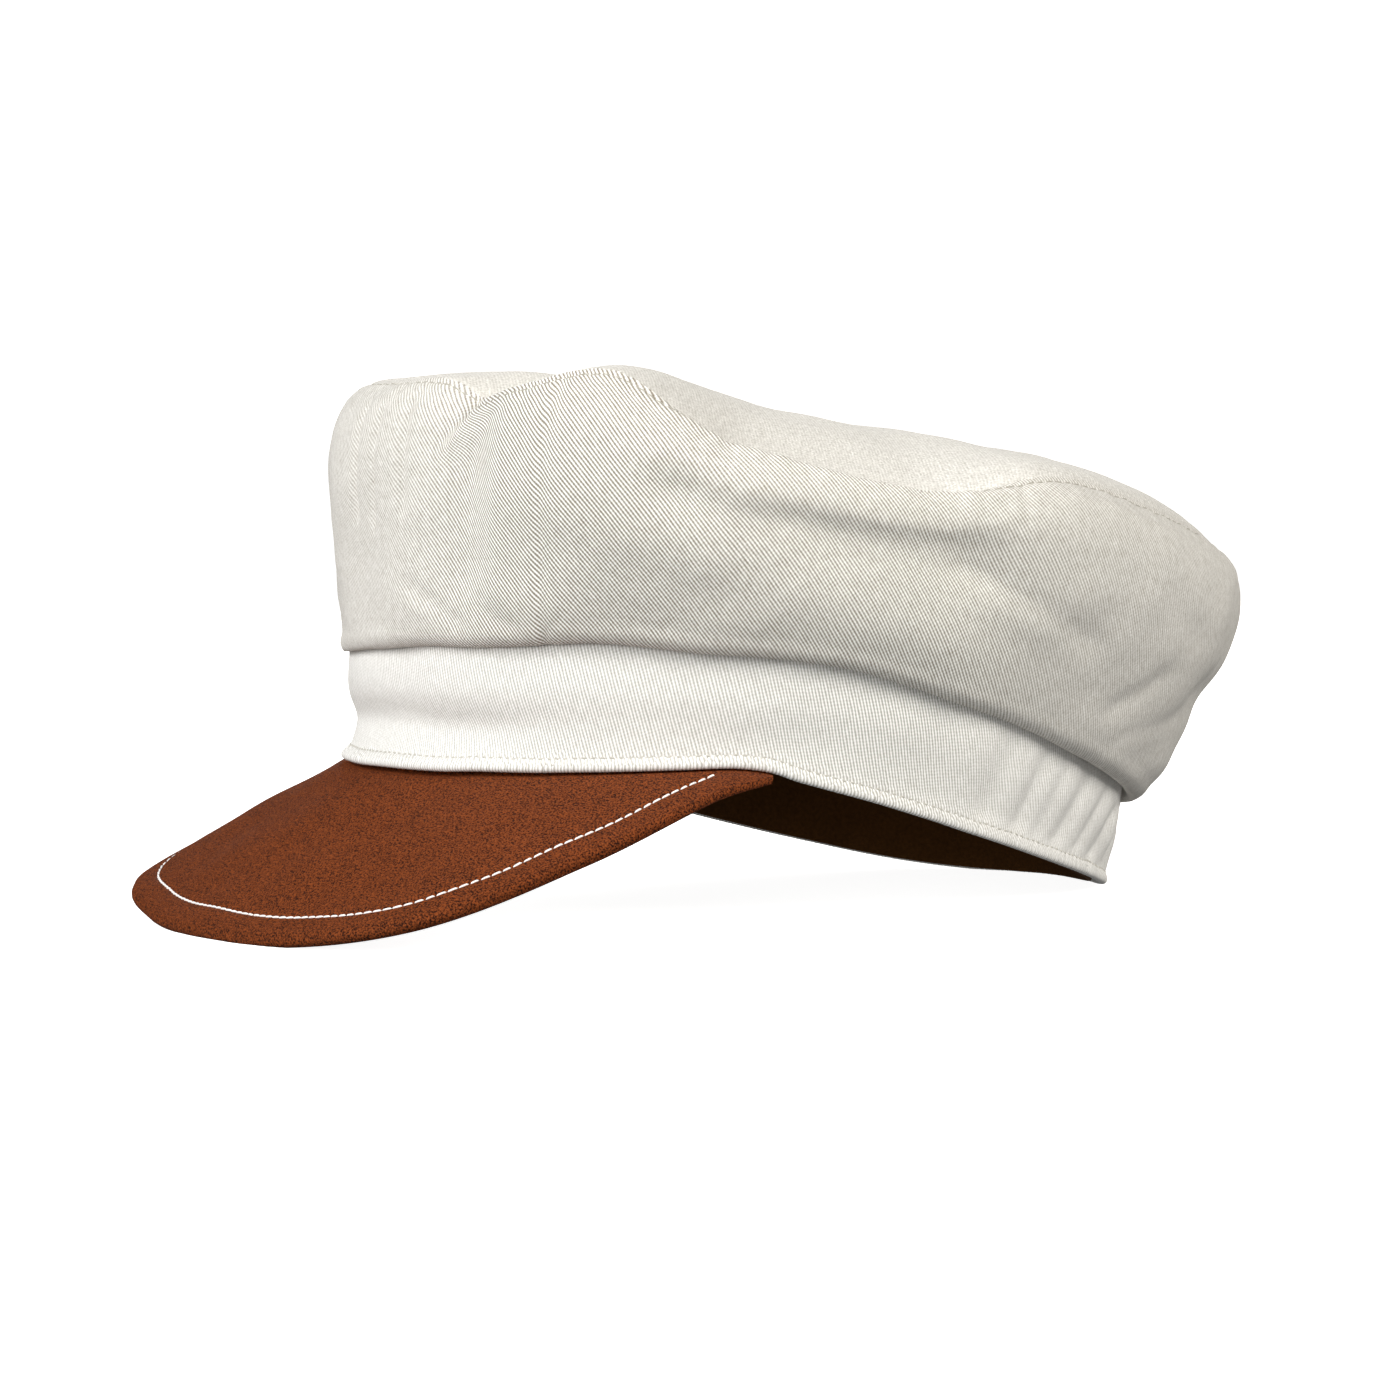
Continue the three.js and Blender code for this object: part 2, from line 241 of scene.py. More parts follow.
def addPiece(name, material, nodes, points, faces, uvs=None, waleStrength=None):
    mesh = bpy.data.meshes.new(name)
    mesh.from_pydata(asResting(points).reshape(-1, 3).tolist(), [], faces)
    if uvs is not None:
        layer = mesh.uv_layers.new(name="cloth")
        layer.data.foreach_set("uv", np.asarray(uvs, np.float32).ravel())
    if waleStrength is not None:
        shown = mesh.attributes.new("wale strength", "FLOAT", "POINT")
        shown.data.foreach_set("value", np.asarray(waleStrength, np.float32).ravel())
    mesh.shade_smooth()
    mesh.materials.append(material)
    mesh.validate()
    piece = bpy.data.objects.new(name, mesh)
    bpy.context.scene.collection.objects.link(piece)
    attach(piece, "root")
    if nodes:
        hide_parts(*nodes)
    print("made", name, len(mesh.vertices), "points")


def gridFaces(rowCount, columnCount, closedRows, closedColumns, first=0):
    r = np.arange(rowCount if closedRows else rowCount - 1)
    c = np.arange(columnCount if closedColumns else columnCount - 1)
    r, c = [a.ravel() for a in np.meshgrid(r, c, indexing="ij")]
    nextR, nextC = (r + 1) % rowCount, (c + 1) % columnCount
    low, high = r * columnCount, nextR * columnCount
    corners = [low + c, low + nextC, high + nextC, high + c]
    places = [(r, c), (r, c + 1), (r + 1, c + 1), (r + 1, c)]
    return np.stack(corners, -1) + first, np.stack([np.stack(place, -1) for place in places], 1)


def waleUvs(places, angle, heights, weave):
    # counts of wales and of crossing threads, for cloth whose wales lean back from upright
    angle = np.append(angle, angle[0] + 360)
    heights = np.vstack([heights, heights[:1]])
    around = (angle[places[..., 1]] - angle[0]) / 360
    height = heights[places[..., 0], places[..., 1] % heights.shape[1]]
    turn = math.radians(weave["waleAngle"])
    wales = round(weave["round"] * math.sin(turn) / weave["walePitch"])
    crossings = round(weave["round"] * math.cos(turn) / weave["crossPitch"])
    waleCount = around * wales + height * math.cos(turn) / weave["walePitch"]
    crossCount = around * crossings - height * math.sin(turn) / weave["crossPitch"]
    return np.stack([waleCount, crossCount], -1)


def stitchRow(name, material, stitch, points, normals, distances, distance, closed=False):
    # short threads on the cloth, along the line where the distances grow past the one asked
    sections, sides = 7, 8
    unevenLength = (0.88, 1.08)
    endTaper = 0.96
    points, normals = lineAt(points, distances, distance), unit(lineAt(normals, distances, distance))
    if closed:
        points, normals = np.vstack([points, points[:1]]), np.vstack([normals, normals[:1]])
    run = np.concatenate([[0], np.cumsum(np.linalg.norm(np.diff(points, axis=0), axis=1))])
    count = int(run[-1] / stitch["pitch"])
    share = np.linspace(-1, 1, sections)
    draw = np.random.RandomState(stitch["seed"])
    length = stitch["length"] * draw.uniform(*unevenLength, (count, 1))
    at = (np.arange(count)[:, None] + 0.5) * run[-1] / count + share * length / 2
    place = np.stack([np.interp(at, run, points[:, k]) for k in range(3)], -1)
    normal = np.stack([np.interp(at, run, normals[:, k]) for k in range(3)], -1)
    along = np.repeat(unit(place[:, -1:] - place[:, :1]), sections, 1)
    side = unit(np.cross(normal, along))
    normal = np.cross(along, side)
    slant = np.radians(stitch["slant"] + draw.normal(0, stitch["unevenSlant"], (count, 1)))
    place = place + side * (share * length / 2 * np.tan(slant))[..., None]
    # their ends are thinner and dip into the cloth
    place = place + normal * (stitch["lift"] - stitch["dip"] * share**4)[..., None]
    radius = stitch["thickness"] / 2 * np.sqrt(1 - endTaper * share**6)
    rings = []
    for k in range(sides):
        turn = fullTurn * k / sides
        rings.append(place + radius[:, None] * (normal * math.cos(turn) + side * math.sin(turn)))
    rings = np.stack(rings, 2)
    faces, _ = gridFaces(sections, sides, False, True)
    step = sections * sides
    one = faces[:, ::-1].tolist() + [list(range(sides)), [step - 1 - k for k in range(sides)]]
    everyFace = [[i + n * step for i in face] for n in range(count) for face in one]
    addPiece(name, material, None, rings, everyFace)


def addWall(node, material, piece, angle, points, weave):
    # the wall of a twill piece that runs all round the cap
    rows, heights = clothRows(points, piece["cloth"])
    keepAboveSurface(rows)
    faces, places = gridFaces(*rows.shape[:2], True, True)
    uvs = waleUvs(places, angle, heights, weave)
    strength = np.tile(smoothRows(piece["waleStrength"], angle, 360)[0], len(rows))
    addPiece(node + "_cloth", material, [node], rows, faces.tolist(), uvs, strength)


def hexColour(code):
    # an sRGB hex value as linear red, green, blue and alpha
    parts = [int(code[i:i + 2], 16) / 255 for i in (0, 2, 4)]
    linear = [p / 12.92 if p <= 0.04045 else ((p + 0.055) / 1.055) ** 2.4 for p in parts]
    return (*linear, 1)


def addNode(owner, kind, links=None, **settings):
    # one node, its settings by name, and its inputs linked from other nodes or set to values
    tree = owner.node_tree
    node = tree.nodes.new(kind)
    for name, value in settings.items():
        setattr(node, name, value)
    for socket, value in (links or {}).items():
        target = node.inputs[socket]
        if isinstance(value, bpy.types.NodeSocket):
            tree.links.new(value, target)
        else:
            target.default_value = value
    return node


def newMaterial(name, surface):
    material = bpy.data.materials.new(name)
    material.use_nodes = True
    material.node_tree.nodes.clear()
    shader = addNode(material, "ShaderNodeBsdfPrincipled", surface)
    addNode(material, "ShaderNodeOutputMaterial", {"Surface": shader.outputs["BSDF"]})
    return material, shader


def addRelief(material, shader, height, middle, look):
    # the height is the bump, and the colour runs from dark in its hollows to light on top of it: on the
    # twills this is painted shade in the grooves and painted highlight on the wales and raised yarn, on the
    # leathers it is the grain's own tone
    links = material.node_tree.links
    relief = addNode(material, "ShaderNodeBump", {
        "Strength": look["bumpStrength"], "Distance": look["bumpHeight"] * millimetre, "Height": height})
    links.new(relief.outputs[0], shader.inputs["Normal"])
    shade = addNode(material, "ShaderNodeMapRange", {
        "Value": height, "From Min": middle - look["range"], "From Max": middle + look["range"]})
    colour = addNode(material, "ShaderNodeMix", {
        "Factor": shade.outputs[0], "A": hexColour(look["dark"]), "B": hexColour(look["light"])},
        data_type="RGBA")
    links.new(colour.outputs["Result"], shader.inputs["Base Color"])


# Cotton twill, piece-dyed off-white and not brushed: matt, with fine raised wales that catch the light
def twillMaterial(name, weave):
    material, shader = newMaterial(name, {
        "Roughness": 0.9,
        "IOR": 1.45,
        "Specular IOR Level": 0.2,
        "Sheen Weight": 0.06,
        "Sheen Roughness": 0.5,
    })
    threads = addNode(material, "ShaderNodeUVMap", uv_map="cloth")
    solid = addNode(material, "ShaderNodeTexCoord")
    # wales wander a little, as cloth is never quite on the straight
    drift = addNode(material, "ShaderNodeTexNoise", {
        "Vector": solid.outputs["Object"], "Scale": 1 / (weave["driftSize"] * millimetre), "Detail": 1.0})
    apart = addNode(material, "ShaderNodeSeparateXYZ", {0: threads.outputs[0]})
    shifted = addNode(material, "ShaderNodeMath", {
        0: drift.outputs["Fac"], 1: weave["drift"], 2: apart.outputs["X"]}, operation="MULTIPLY_ADD")
    waleTurn = addNode(material, "ShaderNodeMath", {0: shifted.outputs[0], 1: fullTurn}, operation="MULTIPLY")
    wale = addNode(material, "ShaderNodeMath", {0: waleTurn.outputs[0]}, operation="SINE")
    crossTurn = addNode(material, "ShaderNodeMath", {
        0: apart.outputs["Y"], 1: fullTurn}, operation="MULTIPLY")
    crossing = addNode(material, "ShaderNodeMath", {0: crossTurn.outputs[0]}, operation="SINE")
    crossed = addNode(material, "ShaderNodeMath", {
        0: crossing.outputs[0], 1: weave["crossShare"], 2: wale.outputs[0]}, operation="MULTIPLY_ADD")
    # the wales are plain where the cloth is stretched and faint where it is rubbed
    strength = addNode(material, "ShaderNodeAttribute", attribute_name="wale strength")
    shown = addNode(material, "ShaderNodeMath", {
        0: crossed.outputs[0], 1: strength.outputs["Fac"]}, operation="MULTIPLY")
    # spun yarn is thick and thin along each wale, in stretches of about three threads
    yarnPlace = addNode(material, "ShaderNodeMapping", {
        "Vector": threads.outputs[0], "Scale": (0.8, 0.3, 1)})
    yarn = addNode(material, "ShaderNodeTexNoise", {
        "Vector": yarnPlace.outputs[0], "Scale": 1.0, "Detail": 2.0})
    uneven = addNode(material, "ShaderNodeMath", {
        0: yarn.outputs["Fac"], 1: weave["yarnShare"], 2: shown.outputs[0]}, operation="MULTIPLY_ADD")
    fuzz = addNode(material, "ShaderNodeTexNoise", {
        "Vector": solid.outputs["Object"], "Scale": 1 / (weave["fuzzSize"] * millimetre), "Detail": 2.0,
        "Roughness": 0.6})
    height = addNode(material, "ShaderNodeMath", {
        0: fuzz.outputs["Fac"], 1: weave["fuzzShare"], 2: uneven.outputs[0]}, operation="MULTIPLY_ADD")
    addRelief(material, shader, height.outputs[0], (weave["yarnShare"] + weave["fuzzShare"]) / 2, weave)
    return material


# Vegetable-tanned cowhide buffed to a nubuck: matt and even, with a fine speckled nap
def leatherMaterial(name, hide):
    material, shader = newMaterial(name, {
        "Roughness": 0.8,
        "IOR": 1.5,
        "Specular IOR Level": 0.12,
    })
    solid = addNode(material, "ShaderNodeTexCoord")
    speck = addNode(material, "ShaderNodeTexNoise", {
        "Vector": solid.outputs["Object"], "Scale": 1 / (hide["speckSize"] * millimetre), "Detail": 2.0,
        "Roughness": 0.6})
    blotch = addNode(material, "ShaderNodeTexNoise", {
        "Vector": solid.outputs["Object"], "Scale": 1 / (hide["blotchSize"] * millimetre), "Detail": 3.0})
    both = addNode(material, "ShaderNodeMath", {
        0: blotch.outputs["Fac"], 1: hide["blotchShare"], 2: speck.outputs["Fac"]}, operation="MULTIPLY_ADD")
    addRelief(material, shader, both.outputs[0], 0.5 + 0.5 * hide["blotchShare"], hide)
    return material


# Spun polyester sewing thread: smooth and slightly glossy
def threadMaterial(name, colour):
    material, _ = newMaterial(name, {
        "Base Color": hexColour(colour), "Roughness": 0.6, "IOR": 1.5, "Sheen Weight": 0.1})
    return material


# The weave is drawn coarser than the cloth's own, as wales about 0.8 mm apart
# its dark and light colours, like the panel's and the band's, are painted shade in the grooves and painted
# highlight on the wales
crownWeave = {
    "round": 700, "walePitch": 0.82, "waleAngle": 47, "crossPitch": 0.85,
    "dark": "887f71", "light": "fffefa", "range": 0.88, "bumpStrength": 0.9, "bumpHeight": 0.07,
    "crossShare": 0.18, "yarnShare": 0.7, "fuzzShare": 0.9, "fuzzSize": 0.45, "drift": 0.9, "driftSize": 35,
}
# the top panel is rubbed and fuzzy
panelWeave = dict(crownWeave, crossShare=0.5, fuzzShare=2.2, fuzzSize=0.6, dark="a6a198",
                  light="faf8f3", range=0.9)
bandWeave = dict(crownWeave, round=cap["hemRound"], walePitch=0.78, waleAngle=71, crossPitch=0.8,
                 crossShare=0.2, yarnShare=0.8, dark="b3b0a8", light="fffefc", range=0.92,
                 bumpHeight=0.06)
crownTwill = twillMaterial("crown cotton twill", crownWeave)
panelTwill = twillMaterial("top panel cotton twill", panelWeave)
bandTwill = twillMaterial("band cotton twill", bandWeave)
peakLeather = leatherMaterial("brown nubuck leather", {
    "dark": "240b02", "light": "86421c", "speckSize": 0.46, "blotchSize": 5, "blotchShare": 0.05,
    "range": 0.12, "bumpStrength": 1.0, "bumpHeight": 0.45})
sweatbandLeather = leatherMaterial("dark brown lining leather", {
    "dark": "46290c", "light": "5c3a17", "speckSize": 0.9, "blotchSize": 8, "blotchShare": 0.4,
    "range": 0.3, "bumpStrength": 0.3, "bumpHeight": 0.1})
whiteThread = threadMaterial("white sewing thread", "f4f2f0")
# the crown's and the hem's threads are greyed as painted shade from their stitch holes
shadedCrownThread = threadMaterial("off-white sewing thread greyed with painted shade", "a8a499")
shadedHemThread = threadMaterial("hem thread greyed with painted shade", "bcb9b0")
print("materials made")

# The crown's wall. The dents are at 21 and 83 degrees, with fuller lobes between them.
crown = {
    "cloth": 1.4,
    "rows": [  # angle, foldUp, foldOut, bellyOut, bellyUp, seamOut, seamUp
        (-60, 28, 5.0, 14.0, 70, 7.0, 92.0),
        (-30, 26.5, 3.6, 12.2, 77, 3.0, 93.5),
        (0, 27.3, 4.4, 11.0, 76, 2.5, 92.5),
        (12, 29, 5.4, 10.5, 74, 3.0, 92.5),
        (21, 29.2, 6.0, 7.0, 70, 0.5, 87.0),
        (28, 29.8, 6.0, 14.0, 70, 7.0, 91.0),
        (40, 29.5, 6.5, 17.5, 68, 8.0, 96.5),
        (50, 28, 6.5, 17.5, 64, 11.0, 89.0),
        (58, 27, 7.0, 17.0, 60, 12.0, 81.5),
        (83, 27.6, 7.5, 18.5, 56, 16.0, 76.5),
        (100, 28, 7.6, 20.5, 58, 16.0, 84.0),
        (120, 25.5, 7.8, 23.0, 59, 16.8, 80.5),
        (150, 22, 7.4, 25.6, 57, 19.0, 74.0),
        (180, 20.5, 7.0, 26.0, 55, 20.5, 73.0),
        (210, 21, 7.5, 25.0, 57, 19.0, 77.0),
        (240, 25, 7.5, 20.5, 60, 15.0, 84.0),
        (270, 27, 7.0, 18.5, 60, 13.0, 82.0),
    ],
    "foldJointUp": 5.4,
    "foldInnerOut": 2.3,
    "foldInnerUp": 3.8,
    "foldBottomOut": 2.8,  # at least
    "foldBottomShare": 0.5,  # of foldOut
    "foldTurnUp": 3.5,
    "foldLip": 0.6,
    "foldLipUp": 1.8,  # above the fold
    "foldLipWidth": 1.6,
    "lowWallShare": 0.42,
    "shoulderIn": 0.55,
    "shoulderUp": 0.62,
    "shoulderOutBulge": 0.14,
    "shoulderUpBulge": 0.1,
    # the shoulder is fuller behind the left side: angle, up
    "shoulderLift": [(0, 0), (92, 0), (106, 3), (130, 2.4), (155, 0.6), (180, 0), (230, 0)],
    # stations count the corners of the wall's section: from, to, rows
    "stationRows": [(0, 3, 16), (3, 5, 32), (5, 7, 34), (7, 8, 20)],
    "ridgeStation": 6.8,
    "creases": [  # from angle, up; to angle, up; width, depth, which is less than 0 for a ridge
        (86, 60, 112, 45, 3.2, 0.6),
        (88, 54, 110, 41, 4.0, -0.3),
        (46, 72, 62, 64, 7.0, 2.2),
        (60, 61, 98, 57, 12.0, 5.2),
        (60, 67, 92, 65, 6.0, 1.4),
        (9, 44, 21.5, 34, 2.4, 0.8),
        (24, 39, 31, 33.5, 2.4, 0.6),
        (33.5, 30, 35, 36, 1.5, 0.8),
        (-4, 88, -4.5, 58, 1.8, 1.1),
        (1.5, 86, 1, 55, 1.6, 0.9),
        (7.5, 88, 9, 60, 2.2, 1.1),
        (116, 29, 128, 43, 3.5, 0.8),
        (122, 25, 140, 33, 3.0, 0.5),
        (118, 62, 134, 50, 5.0, 0.9),
        (146, 42, 150, 62, 4.0, 0.7),
        (138, 39, 168, 37, 6.0, 1.8),
        (136, 20, 168, 20, 5.0, -0.9),
        (196, 34, 186, 60, 5.0, 1.2),
        (230, 44, 214, 62, 5.0, 1.2),
        (262, 52, 286, 66, 5.0, 1.2),
        (310, 70, 332, 58, 4.0, 1.0),
    ],
    "softDents": (40, 0.55, 3),  # size, depth, seed
    "smallDents": (14, 0.16, 4),
    "dentsBySeam": (0, 6),  # the dents grow between these distances from the seam
    "dentsByFold": (4, 12),
    # the big lobe laps over the dent in front of it, along a line that leans back to the seam
    "lapAngle": 16.9,
    "lapUp": 80.5,
    "lapLean": 0.46,  # degrees for each millimetre up
    "lapEdge": 2.6,  # degrees behind that line, as are the foot and the fade
    "lapFoot": -1,
    "lapFade": (5, 16),
    "lapTurn": 3.4,
    "lapWidth": 2.4,
    "lapOut": 2.4,
    "lapDent": 0.5,
    "lapDentWidth": 2.2,
    "lapRise": (70, 87),
    # between the lobes the wall rolls over its seam: angle, share
    "seamRoll": [(0, 0), (44, 0), (54, 0.6), (62, 1), (82, 1), (90, 0.4), (98, 0), (180, 0), (270, 0)],
    "rollIn": 4.5,
    "rollDown": 3.0,
    "ridgeShift": (-2.0, 0.3),  # out and up of the ridge from where the seam would be
    # the seam allowance shows as a low ridge below the seam, with a stitched groove in it
    "stitchBelowSeam": 1.5,
    "grooveDepth": 0.35,
    "grooveWidth": 0.55,
    "ridgeBelowSeam": 3.4,
    "ridgeHeight": 0.25,
    "ridgeWidth": 1.4,
    "puckers": (4, 0.12, 5),  # degrees apart, depth, seed
    "puckerStart": (0, 2),
    "puckerEnd": (4, 13),
    "waleStrength": [(0, 0.35), (14, 0.6), (26, 1), (40, 0.9), (58, 0.68), (88, 0.6), (108, 0.35),
                     (150, 0.25), (240, 0.6), (300, 0.6)],
    "frontColumns": 410,
    "backColumns": 230,
    "stitches": {
        "pitch": 3.0, "length": 2.4, "thickness": 0.4, "lift": 0.1, "dip": 0.22, "slant": 3,
        "unevenSlant": 2, "seed": 8},
}
crownRound = columnAngles(crown)


def crownCorners(angle):
    foldUp, foldOut, bellyOut, bellyUp, seamOut, seamUp = smoothRows(crown["rows"], angle, 360)
    fold = hemUp(angle) + foldUp + crown["cloth"] / 2
    rise, pull = seamUp - bellyUp, seamOut - bellyOut
    lift = smoothRows(crown["shoulderLift"], angle, 360)[0]
    still = 0 * fold
    corners = [
        (still, fold + crown["foldJointUp"]),
        (still + crown["foldInnerOut"], fold + crown["foldInnerUp"]),
        (np.maximum(crown["foldBottomOut"], crown["foldBottomShare"] * foldOut), fold),
        (foldOut, fold + crown["foldTurnUp"]),
        (mix(foldOut, bellyOut, crown["lowWallShare"]), mix(fold, bellyUp, crown["lowWallShare"])),
        (bellyOut, bellyUp),
        (bellyOut + crown["shoulderIn"] * pull + crown["shoulderOutBulge"] * rise,
         bellyUp + crown["shoulderUp"] * rise - crown["shoulderUpBulge"] * pull + lift),
        (seamOut, seamUp),
    ]
    wall = np.array([np.stack(corner, -1) for corner in corners])
    # where the wall rolls over, its ridge is where the seam would be
    roll = smoothRows(crown["seamRoll"], angle, 360)[0][:, None]
    ridge = mix(smoothPath(wall, [crown["ridgeStation"]])[0], wall[-1] + crown["ridgeShift"], roll)
    return np.concatenate([wall[:-1], [ridge, np.stack(seamPlace(angle), -1)]])


def smoothPath(corners, stations):
    # a centripetal curve through the corners, as (stations, columns, 2)
    ends = np.concatenate([[2 * corners[0] - corners[1]], corners, [2 * corners[-1] - corners[-2]]])
    rows = []
    for station in stations:
        i = min(int(station), len(corners) - 2)
        a, b, c, d = ends[i:i + 4]
        d1, d2, d3 = [np.sqrt(np.linalg.norm(q - p, axis=-1))[:, None] for p, q in ((a, b), (b, c), (c, d))]
        startSlope = ((b - a) / d1 - (c - a) / (d1 + d2) + (c - b) / d2) * d2
        endSlope = ((c - b) / d2 - (d - b) / (d2 + d3) + (d - c) / d3) * d2
        rows.append(curveBetween(b, c, startSlope, endSlope, station - i))
    return np.array(rows)


def lapped(angle, out, up, share=1):
    # the big lobe's front edge, pushed forward and out over the dent
    strength = share * smoothStep(*crown["lapRise"], up)
    away = fromAngle(angle, crown["lapAngle"] + crown["lapLean"] * (up - crown["lapUp"]))
    foot, edge = crown["lapFoot"], crown["lapEdge"]
    turned = angle - crown["lapTurn"] * bump(away - edge, crown["lapWidth"]) * strength
    fuller = crown["lapOut"] * smoothStep(foot, edge, away) * (1 - smoothStep(*crown["lapFade"], away))
    return turned, out + strength * (fuller - crown["lapDent"] * bump(away - foot, crown["lapDentWidth"]))


def seamPlace(angle):
    # out and up of the seam between the crown's wall and its top panel
    seamOut, seamUp = smoothRows(crown["rows"], angle, 360)[4:6]
    roll = smoothRows(crown["seamRoll"], angle, 360)[0]
    return seamOut - crown["rollIn"] * roll, seamUp - crown["rollDown"] * roll


def creaseDepth(angle, up):
    total = 0 * up
    for startAngle, startUp, endAngle, endUp, width, depth in crown["creases"]:
        across = fromAngle(angle, startAngle) * cap["mmPerDegree"]
        rise = up - startUp
        runAcross, runUp = (endAngle - startAngle) * cap["mmPerDegree"], endUp - startUp
        length = math.hypot(runAcross, runUp)
        along = (across * runAcross + rise * runUp) / length
        off = (across * runUp - rise * runAcross) / length
        ends = smoothStep(-width, 2 * width, along) * smoothStep(-width, 2 * width, length - along)
        total = total + depth * bump(off, width) * ends
    return total


def crownSide():
    *runs, lastRun = crown["stationRows"]
    stations = [np.linspace(low, high, count, endpoint=False) for low, high, count in runs]
    stations = np.concatenate([*stations, np.linspace(*lastRun)])
    path = smoothPath(crownCorners(crownRound), stations)
    up = path[..., 1]
    angle, out = lapped(crownRound[None, :], path[..., 0], up)
    points = capPoint(angle, out, up)
    fromJoint = lengthUp(points)
    belowSeam = fromJoint[-1] - fromJoint
    relief = -creaseDepth(crownRound[None, :], up)
    relief = relief + dents(points, *crown["softDents"]) + dents(points, *crown["smallDents"])
    relief = relief * smoothStep(*crown["dentsBySeam"], belowSeam)
    relief = relief * smoothStep(*crown["dentsByFold"], fromJoint)
    aboveFold = up - up.min(axis=0)
    pastFold = np.arange(len(up))[:, None] > up.argmin(axis=0)
    lip = crown["foldLip"] * bump(aboveFold - crown["foldLipUp"], crown["foldLipWidth"])
    relief = relief + pastFold * lip
    puckers = ripples(crownRound, *crown["puckers"]) * smoothStep(*crown["puckerStart"], belowSeam)
    relief = relief + puckers * (1 - smoothStep(*crown["puckerEnd"], belowSeam))
    relief = relief + crown["ridgeHeight"] * bump(belowSeam - crown["ridgeBelowSeam"], crown["ridgeWidth"])
    relief = relief - crown["grooveDepth"] * bump(belowSeam - crown["stitchBelowSeam"], crown["grooveWidth"])
    points = points + gridNormals(points) * relief[..., None]
    addWall("crown_side", crownTwill, crown, crownRound, points, crownWeave)
    normals = gridNormals(points)
    outside = points + normals * crown["cloth"] / 2
    stitchRow("crown_topstitching", shadedCrownThread, crown["stitches"], outside[::-1], normals[::-1],
              belowSeam[::-1], crown["stitchBelowSeam"], closed=True)


crownSide()

# The top panel, from the seam to the crown's centre
panel = {
    "cloth": 1.4,
    # along its middle line, front to back: y, up
    "crest": [(-110, 97), (-80, 101), (-50, 98.6), (-20, 96.8), (10, 95.3), (40, 96), (70, 101.5),
              (95, 97), (120, 84)],
    "crestRise": 2.9,
    "crestCentre": 8,
    "reach": 12,
    "seamWaveDepth": 0.35,  # share of the way in where the seam's waves have died out
    "waleTurn": 20,
    "waleStrength": 0.15,
    # the panel swells beside its seam, most behind the left side: angle, height
    "curl": [(0, 0.4), (60, 0.3), (90, 0.8), (110, 1.1), (130, 0.7), (150, 0.4), (180, 0.6), (240, 0.6),
             (300, 0.4)],
    "curlAt": 7,
    "softDents": (45, 0.35, 6),  # size, depth, seed
    "smallDents": (15, 0.12, 7),
    "dentsBySeam": (1, 14),
    "dentsByCentre": (0.9, 1),
    "puckersAt": 4,
    "puckersWidth": 4,
    "columns": 560,
    "rows": 76,
    "rowCrowding": 1.7,  # towards the seam
    "lastShare": 0.985,  # of the way to the centre
}


def crownTop():
    angle = np.linspace(0, 360, panel["columns"], endpoint=False)
    share = np.linspace(0, 1, panel["rows"]) ** panel["rowCrowding"] * panel["lastShare"]
    angles, shares = np.meshgrid(angle, share)
    seamOut, seamUp = seamPlace(angles)
    calm = smoothStep(0, panel["seamWaveDepth"], shares)
    turned, out = lapped(angles, mix(seamOut, panel["reach"], calm), seamUp, 1 - calm)
    seam = capPoint(turned, out, seamUp)
    centre = np.array([0, panel["crestCentre"], 0])
    points = centre + (seam - centre) * (1 - shares)[..., None]
    risen = 1 - (1 - shares) ** panel["crestRise"]
    points[..., 2] = mix(seamUp, smoothRows(panel["crest"], points[..., 1])[0], risen)
    fromSeam = lengthUp(points)
    curl = smoothRows(panel["curl"], angles, 360)[0]
    relief = curl * fromSeam / panel["curlAt"] * np.exp(1 - fromSeam / panel["curlAt"])
    for kind in ("softDents", "smallDents"):
        relief = relief + dents(points, *panel[kind]) * smoothStep(*panel["dentsBySeam"], fromSeam)
    puckers = ripples(angles, *crown["puckers"])
    relief = relief + puckers * bump(fromSeam - panel["puckersAt"], panel["puckersWidth"])
    relief = relief * (1 - smoothStep(*panel["dentsByCentre"], shares / panel["lastShare"]))
    points = points + gridNormals(points) * relief[..., None]
    normals = gridNormals(points)
    half = panel["cloth"] / 2
    edge = roundedEdge(points, normals, half, False)
    inner = range(0, len(points), 2)
    rows = [points[i] - normals[i] * half for i in reversed(inner)]
    rows = np.array(rows + edge[::-1] + list(points + normals * half))
    faces = gridFaces(*rows.shape[:2], False, True)[0].tolist()
    # a fan round the centre closes each side of the cloth
    centre[2] = points[-1, :, 2].mean()
    flat = np.vstack([rows.reshape(-1, 3), centre - [0, 0, half], centre + [0, 0, half]])
    lowCentre, highCentre = len(flat) - 2, len(flat) - 1
    lastRow = lowCentre - len(angle)
    for c in range(len(angle)):
        n = (c + 1) % len(angle)
        faces += [(lowCentre, n, c), (highCentre, lastRow + c, lastRow + n)]
    corners = flat[[i for face in faces for i in face]]
    turn = math.radians(panel["waleTurn"])
    across = corners[:, 0] * math.sin(turn) + corners[:, 1] * math.cos(turn)
    along = corners[:, 0] * math.cos(turn) - corners[:, 1] * math.sin(turn)
    uvs = np.stack([across / panelWeave["walePitch"], along / panelWeave["crossPitch"]], -1)
    addPiece("crown_top_cloth", panelTwill, ["crown_top"], flat, faces, uvs,
             np.full(len(flat), panel["waleStrength"]))


crownTop()

